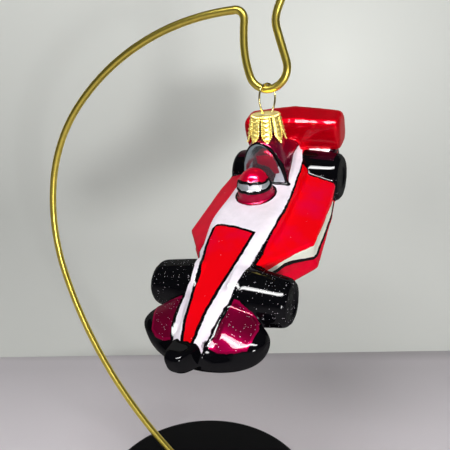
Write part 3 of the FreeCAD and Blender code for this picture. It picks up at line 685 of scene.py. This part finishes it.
def lacquer_material(paints):
    """Every lacquer on the silvered glass, painted shade, highlights and reflections among them, each laid
    where its field is positive.
    """
    material, nodes, shader, place = new_material("lacquered_glass", Coat_Weight=0.12, Coat_Roughness=0.04,
                                                  Coat_IOR=2.0, Specular_IOR_Level=0.0)
    waver = nodes.maths("SUBTRACT", nodes.noise(place, scale=420.0, detail=3.0), 0.5)
    waver = nodes.maths("MULTIPLY", waver, EDGE_WAVER)
    cloud = nodes.noise(place, scale=55.0, detail=3.0, rough=0.6)
    streak = nodes.noise(place, scale=160.0, detail=4.0, rough=0.65)

    def shade(name):
        """The paint's colour, with thin clouds where it is the bright red and deeper streaks elsewhere."""
        first = rgba(getattr(paints, PAINT_COLOURS.get(name, name)))
        if name == "red":
            thin = nodes.maths("MULTIPLY", nodes.step(cloud, *THIN_FROM), THIN_SHARE)
            return nodes.mix(thin, first, rgba(paints.pink_red))
        deep = rgba(channel * STREAK_TONE for channel in first[:3])
        return nodes.mix(nodes.step(streak, *STREAK_FROM), first, deep)

    shades = {"red": shade("red")}
    base, looks = shades["red"], PAINTS["red"]
    for field, inset, name in COATS:
        distance = nodes.add("ShaderNodeAttribute", "Fac", attribute_name=field)
        reach = nodes.maths("ADD", distance, waver)
        mask = nodes.step(reach, inset - EDGE_SOFTNESS, inset + EDGE_SOFTNESS)
        if name not in shades:
            shades[name] = shade(name)
        base = nodes.mix(mask, base, shades[name])
        looks = [nodes.mix_number(mask, under, over) for under, over in zip(looks, PAINTS[name])]
    metal, rough, grains = looks
    grain = glitter(nodes, place, grains)
    nodes.feed(nodes.mix(grain, base, rgba(GRAIN_COLOUR)), shader.inputs["Base Color"])
    nodes.feed(metal, shader.inputs["Metallic"])
    nodes.feed(nodes.mix_number(grain, rough, GRAIN_ROUGHNESS), shader.inputs["Roughness"])
    normal = nodes.bump(shader, nodes.maths("MULTIPLY", streak, 0.5), strength=0.12, distance=0.0002)
    nodes.feed(normal, shader.inputs["Coat Normal"])
    return material


# Crown cap

# Reach of the petals' feet against the solid cap's half width, and radius of the top against that reach.
CAP_FLARE, CAP_TOP_SHARE = 1.09, 0.72
# How far down the top's edge lies and where the lean is pivoted, as shares of the cap's height.
CAP_SHOULDER, CAP_PIVOT = 0.05, 0.75
# Wall of the stamped metal, and how far the lip of the top stands out, in metres.
CAP_WALL, TOP_LIP = 0.00035, 0.0001
# The top's shallow dish: its depth, and how deep the ring in it lies at its outside and its inside.
DISH_DEPTH, RING_OUTSIDE, RING_INSIDE = 0.0002, 0.00012, 0.00004
# Reach of the top over the petals' heads in walls, steps round it, and its beads against the petals' beads.
TOP_OVERHANG, TOP_STEPS, TOP_BEAD_SHARE = 0.4, 96, 1.25
# Faces of a petal down and across it, and the share of its room round the cap that it fills.
PETAL_ROWS, PETAL_COLUMNS, PETAL_FILL = 40, 16, 0.79
# Down a petal: where its tip starts to taper, how much of its width that takes, and how it narrows.
TIP_START, TIP_TAPER, PETAL_NARROWING = 0.72, 0.96, 0.12
# Height of a petal's swell, in metres.
PETAL_SWELL = 0.00028
# Raised rows down a petal: height in metres, place from its middle, narrowness, and turn of their waves.
RIDGE = (0.00042, 0.0, 3.2, 38)
BOSSES = (0.00034, 0.52, 7, 46)
# Dents of a gold surface: scale, strength and depth in metres.
FINE_DENTS = (2600.0, 0.15, 0.00006)
STAMPED_DENTS = (1000.0, 0.32, 0.000128)
# Tone of tarnished gold, the noise that shows it, and how much rougher it is.
TARNISH_TONE, TARNISH_FROM, TARNISH_ROUGHER = 0.72, (0.35, 0.85), 0.18


def gold_material(name, gold, rough, dents=FINE_DENTS):
    material, nodes, shader, place = new_material(name, Metallic=1.0)
    tarnish = nodes.noise(place, scale=240.0, detail=4.0, rough=0.6)
    dark = rgba(channel * TARNISH_TONE for channel in gold)
    nodes.feed(nodes.mix(nodes.step(tarnish, *TARNISH_FROM), rgba(gold), dark), shader.inputs["Base Color"])
    duller = nodes.add("ShaderNodeMapRange",
                       inputs={"Value": tarnish, "To Min": rough, "To Max": rough + TARNISH_ROUGHER})
    nodes.feed(duller, shader.inputs["Roughness"])
    scale, strength, depth = dents
    nodes.bump(shader, nodes.noise(place, scale), strength, depth)
    return material


def stamped(across, down, row):
    """How high a raised row stands at a place on a petal."""
    height, middle, narrowness, turn = row
    lobe = math.exp(-((abs(across) - middle) * narrowness) ** 2)
    return height * lobe * (0.5 + 0.5 * math.cos(down * turn))


def petal_sheets(top, radius, half_width, height, petals):
    """Rows of points down one stamped petal, of its outer face and of its inner face."""
    half_angle = math.pi / petals * PETAL_FILL
    outer, inner = [], []
    for row in range(PETAL_ROWS + 1):
        down = row / PETAL_ROWS
        taper = 1.0 - max(down - TIP_START, 0.0) / (1.0 - TIP_START) * TIP_TAPER
        width = half_angle * taper * (1.0 - PETAL_NARROWING * down)
        reach = radius + (half_width - radius) * down
        outer.append([])
        inner.append([])
        for column in range(PETAL_COLUMNS + 1):
            across = 2 * column / PETAL_COLUMNS - 1
            angle_at = width * across + math.pi / 2
            swell = PETAL_SWELL * math.cos(across * math.pi / 2)
            raised = stamped(across, down, RIDGE) + stamped(across, down, BOSSES)
            for sheet, out in ((outer, reach + swell + raised), (inner, reach + swell - CAP_WALL)):
                sheet[-1].append((math.cos(angle_at) * out, math.sin(angle_at) * out, top - height * down))
    return outer, inner


def petal_mesh(*sheets):
    """A petal as a closed sheet, with the edges of its rim marked, but for the edge on the cap's top."""
    build = bmesh.new()
    outer, inner = ([[build.verts.new(place) for place in row] for row in sheet] for sheet in sheets)
    for r in range(PETAL_ROWS):
        for c in range(PETAL_COLUMNS):
            build.faces.new((outer[r][c], outer[r][c + 1], outer[r + 1][c + 1], outer[r + 1][c]))
            build.faces.new((inner[r][c], inner[r + 1][c], inner[r + 1][c + 1], inner[r][c + 1]))
    loop = [(0, c) for c in range(PETAL_COLUMNS)] + [(r, PETAL_COLUMNS) for r in range(PETAL_ROWS)]
    loop += [(PETAL_ROWS - r, PETAL_COLUMNS - c) for r, c in loop]
    around = list(zip(loop, loop[1:] + loop[:1]))
    for (r, c), (r2, c2) in around:
        build.faces.new((outer[r][c], inner[r][c], inner[r2][c2], outer[r2][c2]))
    bmesh.ops.recalc_face_normals(build, faces=build.faces)
    mesh = bpy.data.meshes.new("petal")
    build.to_mesh(mesh)
    build.free()
    columns = PETAL_COLUMNS + 1
    rim = {frozenset((r * columns + c, r2 * columns + c2)) for (r, c), (r2, c2) in around if r and r2}
    marks = mesh.attributes.new("rim", "BOOLEAN", "EDGE")
    for edge, mark in zip(mesh.edges, marks.data):
        mark.value = frozenset(edge.vertices) in rim
    return mesh


def crown_tree(material):
    """Geometry nodes: one petal becomes the crown, with beads along the petals' rims and round the top."""
    tree = bpy.data.node_groups.new("crown_of_petals", "GeometryNodeTree")
    face = tree.interface
    face.new_socket("Geometry", in_out="INPUT", socket_type="NodeSocketGeometry")
    sockets = {}
    for name, kind in (("Petals", "NodeSocketInt"), ("Rim Beads", "NodeSocketInt"),
                       ("Bead Radius", "NodeSocketFloat"), ("Bead Step", "NodeSocketFloat"),
                       ("Rim Radius", "NodeSocketFloat"), ("Rim Height", "NodeSocketFloat")):
        sockets[name] = face.new_socket(name, in_out="INPUT", socket_type=kind)
    face.new_socket("Geometry", in_out="OUTPUT", socket_type="NodeSocketGeometry")
    nodes = Nodes(tree)
    given = nodes.add("NodeGroupInput", None).outputs

    rim = nodes.add("GeometryNodeInputNamedAttribute", data_type="BOOLEAN", inputs={"Name": "rim"})
    path = nodes.add("GeometryNodeMeshToCurve", inputs={"Mesh": given["Geometry"], "Selection": rim})
    steps = nodes.add("GeometryNodeResampleCurve", mode="LENGTH",
                      inputs={"Curve": path, "Length": given["Bead Step"]})
    bead = nodes.add("GeometryNodeMeshIcoSphere",
                     inputs={"Radius": given["Bead Radius"], "Subdivisions": 1})
    beads = nodes.add("GeometryNodeInstanceOnPoints", inputs={"Points": steps, "Instance": bead})
    petal = nodes.joined(given["Geometry"], beads)

    points = nodes.add("GeometryNodePoints", inputs={"Count": given["Petals"]})
    half_on = nodes.maths("ADD", nodes.add("GeometryNodeInputIndex"), 0.5)
    turn = nodes.maths("MULTIPLY", nodes.maths("DIVIDE", half_on, given["Petals"]), math.tau)
    turns = nodes.add("ShaderNodeCombineXYZ", inputs={"Z": turn})
    crown = nodes.add("GeometryNodeInstanceOnPoints",
                      inputs={"Points": points, "Instance": petal, "Rotation": turns})

    ring = nodes.add("GeometryNodeMeshCircle",
                     inputs={"Vertices": given["Rim Beads"], "Radius": given["Rim Radius"]})
    lift = nodes.add("ShaderNodeCombineXYZ", inputs={"Z": given["Rim Height"]})
    lifted = nodes.add("GeometryNodeSetPosition", inputs={"Geometry": ring, "Offset": lift})
    top_radius = nodes.maths("MULTIPLY", given["Bead Radius"], TOP_BEAD_SHARE)
    top_bead = nodes.add("GeometryNodeMeshIcoSphere", inputs={"Radius": top_radius, "Subdivisions": 2})
    top_beads = nodes.add("GeometryNodeInstanceOnPoints", inputs={"Points": lifted, "Instance": top_bead})

    real = nodes.add("GeometryNodeRealizeInstances", inputs={"Geometry": nodes.joined(crown, top_beads)})
    painted = nodes.add("GeometryNodeSetMaterial", inputs={"Geometry": real, "Material": material})
    nodes.add("NodeGroupOutput", None, inputs={0: painted})
    return tree, {name: socket.identifier for name, socket in sockets.items()}


def crown_mesh(petal, material, sizes, radius, rim_height):
    """The whole crown as a plain mesh."""
    tree, names = crown_tree(material)
    item = linked("crown_draft", petal)
    crown = item.modifiers.new("crown", "NODES")
    crown.node_group = tree
    for name, value in (("Petals", sizes.petals), ("Rim Beads", sizes.rim_beads),
                        ("Bead Radius", sizes.bead), ("Bead Step", sizes.bead_step),
                        ("Rim Radius", radius), ("Rim Height", rim_height)):
        crown[names[name]] = value
    mesh = evaluated_mesh(item)
    mesh.name = "cap_petals"
    if len(mesh.vertices) < len(petal.vertices) * sizes.petals:
        raise RuntimeError("the crown of petals came out short")
    return mesh


def top_profile(edge, shoulder):
    """Radius and height round the cap's flat top, from its underside's middle to its upper side's."""
    return [(0, -CAP_WALL), (edge * 0.94, -CAP_WALL * 1.4), (edge, -shoulder * 1.5),
            (edge + TOP_LIP, -shoulder), (edge * 0.985, -shoulder * 0.45), (edge * 0.93, -shoulder * 0.12),
            (edge * 0.84, 0), (edge * 0.78, -DISH_DEPTH), (edge * 0.7, -RING_OUTSIDE),
            (edge * 0.4, -RING_INSIDE), (edge * 0.24, -DISH_DEPTH), (0, -DISH_DEPTH)]


def turned_mesh(name, profile, steps):
    """A closed surface turned round the Z axis from (radius, height) points, whose ends lie on the axis."""
    build = bmesh.new()
    turns = [math.tau * i / steps for i in range(steps)]
    rings = []
    for radius, height in profile:
        around = turns if radius else turns[:1]
        rings.append([build.verts.new((radius * math.cos(turn), radius * math.sin(turn), height))
                      for turn in around])
    for low, high in zip(rings, rings[1:]):
        for i in range(steps):
            j = (i + 1) % steps
            corners = [low[i % len(low)], low[j % len(low)], high[j % len(high)], high[i % len(high)]]
            build.faces.new(list(dict.fromkeys(corners)))
    bmesh.ops.recalc_face_normals(build, faces=build.faces)
    mesh = bpy.data.meshes.new(name)
    build.to_mesh(mesh)
    build.free()
    return mesh


# Stage

# Light of the room: how steep a direction is where its strength starts to rise, and where it is full.
SKY_RISE = (0.1, 0.95)
LAMP_AIM = Vector((0.02, -0.03, 0.15))
# Pieces that the broad lamp shows in.
GLINTING = ("glass_car_lacquered", "cap_petals", "cap_top")
# Width of the camera's sensor in mm, and the nearest that it sees, in metres.
SENSOR_WIDTH, NEAR_CLIP = 36.0, 0.005
# How far table and backdrop reach to each side, and the share of the table's own tone that shows.
STAGE_REACH, TABLE_GLOW = 3.0, 0.05
TABLE_TONE, WALL_TONE = (0.82, 0.775, 0.815), (0.565, 0.58, 0.547)
# Painted shade along the table, darker towards the backdrop's foot: where each starts and ends before the
# backdrop, and its share of the tone.
TABLE_SHADES = ((0.12, 0.025, 0.74), (0.012, 0.0, 0.58))
# Painted shadow, a dark place on the table: before the backdrop, aside from its middle, radius and share of
# the tone.
TABLE_PATCH = (0.03, 0.078, 0.09, 0.6)
# Painted light and shadow on the backdrop, a lit spot and darker places with the car's shadow among them:
# aside from its middle, height, radius and share of the tone.
WALL_PATCHES = ((0.08, 0.235, 0.13, 1.22), (-0.045, 0.18, 0.085, 0.8), (0.16, 0.13, 0.12, 0.88),
                (-0.17, 0.12, 0.22, 0.72))
# How fast such a place fades, and the brightest that a tone gets.
PATCH_FADE, BRIGHTEST = 1.6, 0.95


def backdrop_material(name, tone, own_light, patches, slopes=()):
    """A plain matt tone, see-through from behind, with painted light and shade round some places and
    painted shade along a slope.

    patches: (place, radius, share of the tone); slopes: (direction, start, end, share at its end).
    """
    material, nodes, shader, place = new_material(name, Roughness=0.75, Specular_IOR_Level=0.2)

    def shaded(share):
        return rgba(min(channel * share, BRIGHTEST) for channel in tone)

    base = nodes.mix(nodes.noise(place, scale=2.5), shaded(0.95), shaded(1.0))
    for direction, start, end, share in slopes:
        along = nodes.add("ShaderNodeVectorMath", "Value", operation="DOT_PRODUCT",
                          inputs={0: place, 1: direction})
        base = nodes.mix(nodes.step(along, start, end), base, shaded(share))
    for centre, radius, share in patches:
        apart = nodes.add("ShaderNodeVectorMath", "Value", operation="DISTANCE",
                          inputs={0: place, 1: centre})
        near = nodes.maths("POWER", nodes.step(apart, radius, 0.0), PATCH_FADE)
        base = nodes.mix(near, base, shaded(share))
    nodes.feed(base, shader.inputs["Base Color"])
    # its own tone shows to the eye and in gloss, and lights nothing
    rays = nodes.add("ShaderNodeLightPath", None).outputs
    seen = nodes.maths("ADD", rays["Is Camera Ray"], rays["Is Glossy Ray"])
    seen = nodes.maths("ADD", seen, rays["Is Transmission Ray"], clamp=True)
    nodes.feed(base, shader.inputs["Emission Color"])
    nodes.feed(nodes.maths("MULTIPLY", seen, own_light), shader.inputs["Emission Strength"])
    behind = nodes.add("ShaderNodeNewGeometry", "Backfacing")
    sides = nodes.add("ShaderNodeMixShader", inputs={
        0: behind, 1: shader.outputs[0], 2: nodes.add("ShaderNodeBsdfTransparent")})
    nodes.feed(sides, nodes.tree.nodes["Material Output"].inputs["Surface"])
    return material


def flat_sheet(name, corners, material):
    mesh = bpy.data.meshes.new(name)
    mesh.from_pydata(corners, [], [(0, 1, 2, 3)])
    mesh.materials.append(material)
    item = linked(name, mesh)
    return item


def set_table_and_backdrop(stage):
    """The table and, upright on it across the camera's view, the backdrop; gives the table."""
    ahead = Vector((-math.sin(stage.eye_turn), math.cos(stage.eye_turn), 0))
    aside = Vector((ahead.y, -ahead.x, 0))
    foot = Vector((stage.eye[0], stage.eye[1], 0)) + ahead * stage.table_edge
    foot_ahead = foot.dot(ahead)
    # the table's tone holds a painted shadow and painted shade towards the backdrop
    back, across, radius, share = TABLE_PATCH
    finish = backdrop_material(
        "table_top", TABLE_TONE, TABLE_GLOW, [(foot - ahead * back + aside * across, radius, share)],
        [(ahead, foot_ahead - start, foot_ahead - end, shade) for start, end, shade in TABLE_SHADES])
    near, far = foot - ahead * STAGE_REACH, foot + ahead * STAGE_REACH
    out = aside * STAGE_REACH
    table = flat_sheet("table", [near - out, near + out, far + out, far - out], finish)
    # the backdrop's tone holds a painted lit spot and painted shadows
    finish = backdrop_material(
        "backdrop_paper", WALL_TONE, stage.wall_glow,
        [(foot + aside * off + Vector((0, 0, height)), radius, share)
         for off, height, radius, share in WALL_PATCHES])
    out = (aside + ahead * stage.wall_turn).normalized() * STAGE_REACH
    up = Vector((0, 0, stage.wall_height))
    flat_sheet("backdrop", [foot - out, foot + out, foot + out + up, foot - out + up], finish)
    return table


def set_world(scene, stage):
    """Soft light of the room, strongest from above."""
    world = bpy.data.worlds.new("soft_room")
    world.use_nodes = True
    nodes = Nodes(world.node_tree)
    sky = world.node_tree.nodes["Background"]
    sky.inputs["Color"].default_value = (1.0, 1.0, 1.0, 1.0)
    direction = nodes.add("ShaderNodeTexCoord", "Generated")
    steepness = nodes.add("ShaderNodeSeparateXYZ", "Z", inputs={0: direction})
    strength = nodes.mix_number(nodes.step(steepness, *SKY_RISE), stage.world_low, stage.world)
    nodes.feed(strength, sky.inputs["Strength"])
    scene.world = world


def area_lamp(name, place, size, power):
    data = bpy.data.lights.new(name, "AREA")
    data.shape, data.size, data.size_y = "RECTANGLE", *size
    data.energy = power
    item = linked(name, data)
    item.location = place
    item.rotation_euler = (LAMP_AIM - Vector(place)).to_track_quat("-Z", "Y").to_euler()
    return item


def light_only(lamp, name, items):
    """The lamp lights only these objects."""
    lit = bpy.data.collections.new(name)
    for item in items:
        lit.objects.link(item)
    lamp.light_linking.receiver_collection = lit


def set_lamps(scene, stage, table):
    area_lamp("long_lamp", place=(0.12, -0.42, 0.62), size=(0.62, 0.05), power=stage.key)
    low = area_lamp("low_lamp", place=(0.417, -0.481, 0.09), size=(0.09, 0.09), power=stage.fill)
    # the low lamp stands close over the table, so it lights all but the table
    meshes = [item for item in scene.objects if item.type == "MESH"]
    light_only(low, "above_table", [item for item in meshes if item != table])
    glint = area_lamp("glint_lamp", place=(0.08, -0.42, 0.62), size=(0.7, 0.15), power=stage.glint)
    glint.visible_diffuse = False
    light_only(glint, "shiny", [scene.objects[name] for name in GLINTING])


def set_camera(scene, stage):
    camera = bpy.data.cameras.new("eye")
    camera.lens, camera.sensor_width, camera.clip_start = stage.lens, SENSOR_WIDTH, NEAR_CLIP
    item = linked("eye", camera)
    item.location = stage.eye
    item.rotation_euler = (math.pi / 2 - stage.eye_down, 0, stage.eye_turn)
    scene.camera = item


# Operators, one for each piece or group of like pieces

class ORNAMENT_OT_glass(bpy.types.Operator):
    """Build the lacquered glass car from its softened forms"""
    bl_idname = "ornament.glass"
    bl_label = "Glass car"

    def execute(self, context):
        scene = context.scene
        mesh = glass_mesh(scene.ornament_glass, scene.ornament_pose)
        if not mesh.vertices:
            raise RuntimeError("the glass came out empty")
        lacquer = lacquer_material(scene.ornament_paint)
        new_piece("glass_car_lacquered", mesh, lacquer, "lacquered_glass", "glass_car")
        return {"FINISHED"}


class ORNAMENT_OT_cap(bpy.types.Operator):
    """Stamp the crown cap: petals with beaded rims, a flat top and a beaded edge"""
    bl_idname = "ornament.cap"
    bl_label = "Crown cap"

    def execute(self, context):
        sizes, pose = context.scene.ornament_cap, context.scene.ornament_pose
        seat = Vector(pose.hook_seat)
        low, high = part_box("crown_cap")
        height = high.z - low.z
        half_width = (high.x - seat.x) * CAP_FLARE - sizes.bead
        radius, shoulder = half_width * CAP_TOP_SHARE, height * CAP_SHOULDER
        gold = gold_material("stamped_gold", sizes.gold, rough=0.24, dents=STAMPED_DENTS)
        petal = petal_mesh(*petal_sheets(-shoulder, radius, half_width, height - shoulder - sizes.bead,
                                         sizes.petals))
        crown = crown_mesh(petal, gold, sizes, radius, -shoulder)
        edge = radius + CAP_WALL * TOP_OVERHANG
        plate = turned_mesh("cap_top", top_profile(edge, shoulder), TOP_STEPS)
        pivot = Vector((0, 0, height * CAP_PIVOT))
        seated = (Matrix.Translation(Vector((seat.x, seat.y, high.z)) - pivot)
                  @ tilted(pose, sizes.lean).to_4x4() @ Matrix.Translation(pivot))
        for mesh in (crown, plate):
            mesh.transform(seated)
        new_piece("cap_petals", crown, gold, "gold_cap", "crown_cap")
        new_piece("cap_top", plate, gold, "gold_cap")
        return {"FINISHED"}


class ORNAMENT_OT_wires(bpy.types.Operator):
    """Give the stand's wire and the hanger their gold finishes"""
    bl_idname = "ornament.wires"
    bl_label = "Wires"

    def execute(self, context):
        gold = context.scene.ornament_stage.wire_gold
        dress("stand_wire", gold_material("satin_gold_wire", gold, rough=0.24))
        dress("hanger", gold_material("bright_spring_wire", (0.66, 0.56, 0.24), rough=0.12))
        return {"FINISHED"}


class ORNAMENT_OT_base(bpy.types.Operator):
    """Finish the round base and the felt under it"""
    bl_idname = "ornament.base"
    bl_label = "Base"

    def execute(self, context):
        material, nodes, shader, place = new_material("black_painted_wood", Roughness=0.5,
                                                      Specular_IOR_Level=0.05)
        along_grain = nodes.add("ShaderNodeMapping", inputs={"Vector": place, "Scale": (1.0, 9.0, 9.0)})
        grain = nodes.noise(along_grain, scale=90.0, detail=5.0, rough=0.6)
        base = nodes.mix(grain, (0.0012, 0.0012, 0.002, 1), (0.003, 0.003, 0.004, 1))
        nodes.feed(base, shader.inputs["Base Color"])
        nodes.bump(shader, grain, strength=0.12, distance=0.0002)
        dress("stand_base", material)
        material, nodes, shader, place = new_material("black_felt", Roughness=0.95, Sheen_Weight=0.5)
        fibres = nodes.noise(place, scale=1500.0, detail=5.0, rough=0.75)
        base = nodes.mix(fibres, (0.01, 0.01, 0.01, 1), (0.05, 0.05, 0.052, 1))
        nodes.feed(base, shader.inputs["Base Color"])
        nodes.bump(shader, fibres, strength=0.7, distance=0.0003)
        dress("felt_disc", material)
        return {"FINISHED"}


class ORNAMENT_OT_stage(bpy.types.Operator):
    """Set the table, the backdrop, the lamps and the camera"""
    bl_idname = "ornament.stage"
    bl_label = "Stage"

    def execute(self, context):
        scene, stage = context.scene, context.scene.ornament_stage
        table = set_table_and_backdrop(stage)
        set_world(scene, stage)
        set_lamps(scene, stage, table)
        set_camera(scene, stage)
        scene.view_settings.view_transform = "Standard"
        return {"FINISHED"}


# Panel and registration

STEPS = (ORNAMENT_OT_base, ORNAMENT_OT_wires, ORNAMENT_OT_cap, ORNAMENT_OT_glass, ORNAMENT_OT_stage)
GROUPS = {
    "ornament_pose": OrnamentPose,
    "ornament_glass": GlassForm,
    "ornament_paint": LacquerColours,
    "ornament_cap": CapSizes,
    "ornament_stage": StageSettings,
}


class ORNAMENT_PT_sidebar(bpy.types.Panel):
    """Every step of the ornament, with its sizes and colours"""
    bl_idname = "ORNAMENT_PT_sidebar"
    bl_label = "Glass racing car ornament"
    bl_space_type = "VIEW_3D"
    bl_region_type = "UI"
    bl_category = "Ornament"

    def draw(self, context):
        for step in STEPS:
            self.layout.operator(step.bl_idname)
        for name, group in GROUPS.items():
            box = self.layout.box()
            for field in group.__annotations__:
                box.prop(getattr(context.scene, name), field)


def register():
    for item in (*GROUPS.values(), *STEPS, ORNAMENT_PT_sidebar):
        bpy.utils.register_class(item)
    for name, group in GROUPS.items():
        setattr(bpy.types.Scene, name, PointerProperty(type=group))


def unregister():
    for name in GROUPS:
        delattr(bpy.types.Scene, name)
    for item in (ORNAMENT_PT_sidebar, *reversed(STEPS), *reversed(GROUPS.values())):
        bpy.utils.unregister_class(item)


def main():
    register()
    for step in STEPS:
        group, name = step.bl_idname.split(".")
        getattr(getattr(bpy.ops, group), name)()


if __name__ == "__main__":
    main()
